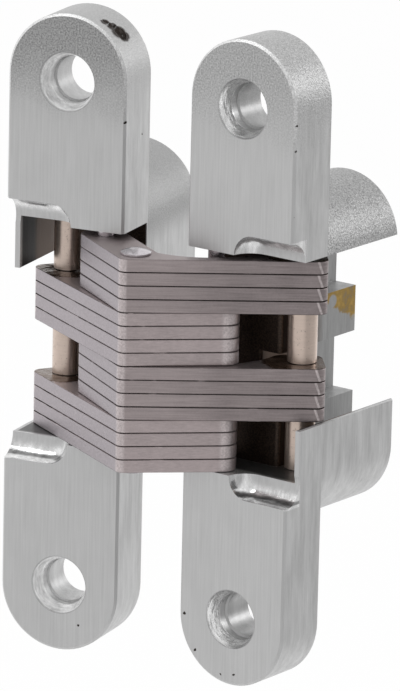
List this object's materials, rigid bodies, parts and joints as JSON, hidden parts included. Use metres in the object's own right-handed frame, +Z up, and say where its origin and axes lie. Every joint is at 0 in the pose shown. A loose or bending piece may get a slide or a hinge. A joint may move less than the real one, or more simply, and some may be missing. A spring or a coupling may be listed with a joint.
{
  "type": "concealed invisible door hinge",
  "caption": "Concealed door hinge: two round-ended cast leaves with deep pockets, joined by stacked link plates crossing at a riveted centre pin, shown open.",
  "frame": {"origin": "in the back face of the left leaf's plate, midway between its two screw holes", "axes": "+X across the left leaf towards the links, +Y into the leaf and its mortise, +Z up along the leaf"},
  "size_m": [0.0532, 0.0357, 0.0952],
  "materials": {
    "cast_leaf": "satin plated casting",
    "link_metal": "brushed plated steel",
    "pin_metal": "bright plated steel"
  },
  "bodies": {
    "left_leaf_body": {"left_leaf": "cast_leaf", "left_fixed_pin": "pin_metal"},
    "link_a_body": {"link_a_group_1_plate_1": "link_metal", "link_a_group_1_plate_2": "link_metal", "link_a_group_1_plate_3": "link_metal", "link_a_group_1_plate_4": "link_metal", "link_a_group_3_plate_1": "link_metal", "link_a_group_3_plate_2": "link_metal", "link_a_group_3_plate_3": "link_metal", "link_a_group_3_plate_4": "link_metal", "centre_pin": "pin_metal", "right_slide_pin": "pin_metal", "right_upper_sleeve": "pin_metal", "right_lower_sleeve": "pin_metal"},
    "link_b_body": {"link_b_group_2_plate_1": "link_metal", "link_b_group_2_plate_2": "link_metal", "link_b_group_2_plate_3": "link_metal", "link_b_group_2_plate_4": "link_metal", "link_b_group_4_plate_1": "link_metal", "link_b_group_4_plate_2": "link_metal", "link_b_group_4_plate_3": "link_metal", "link_b_group_4_plate_4": "link_metal", "left_slide_pin": "pin_metal", "left_upper_sleeve": "pin_metal", "left_lower_sleeve": "pin_metal"},
    "right_leaf_body": {"right_leaf": "cast_leaf", "right_fixed_pin": "pin_metal"}
  },
  "joints": [
    {"name": "left_pin_turn", "type": "hinge", "parent": "left_leaf_body", "child": "link_a_body", "pos_m": [0.0056, -0.0064, 0], "axis": [0, 0, 1], "range_deg": [-115.6, 9.22]},
    {"name": "centre_pin_turn", "type": "hinge", "parent": "link_a_body", "child": "link_b_body", "pos_m": [0.014, -0.01433, 0], "axis": [0, 0, 1], "range_deg": [-5.15, 64.52]},
    {"name": "right_pin_turn", "type": "hinge", "parent": "link_b_body", "child": "right_leaf_body", "pos_m": [0.024, -0.00855, 0], "axis": [0, 0, 1], "range_deg": [-115.61, 9.23]}
  ],
  "couplings": [
    {"joint": "centre_pin_turn", "follows": "left_pin_turn", "ratio": -0.55804},
    {"joint": "right_pin_turn", "follows": "left_pin_turn", "ratio": 1}
  ]
}
